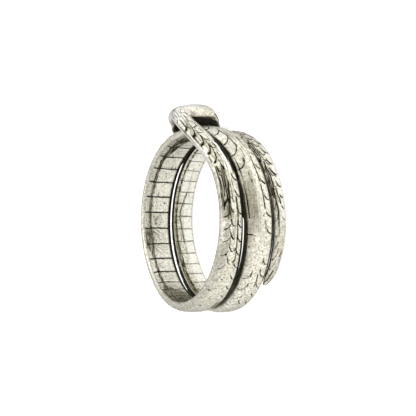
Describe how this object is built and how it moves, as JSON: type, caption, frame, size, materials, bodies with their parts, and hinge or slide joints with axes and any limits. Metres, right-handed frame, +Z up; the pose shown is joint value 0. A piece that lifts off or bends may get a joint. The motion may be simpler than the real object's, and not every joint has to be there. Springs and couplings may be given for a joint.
{
  "type": "snake wrap ring",
  "caption": "Finger ring cast as a snake that coils round the finger, with a domed head laid across its own coils and a thin tail.",
  "frame": {"origin": "middle of the ring's outline seen from above, on the surface that it lies on", "axes": "+Z upwards, out of the finger hole; +Y towards the head, which overhangs the coils; +X towards the low side of the finger hole's lean"},
  "size_m": [0.0204, 0.0224, 0.0085],
  "materials": {
    "antique_silver": "cast sterling silver, darkened in its grooves and worn bright on its high places"
  },
  "bodies": {
    "root": {"snake_ring": "antique_silver"}
  },
  "joints": []
}
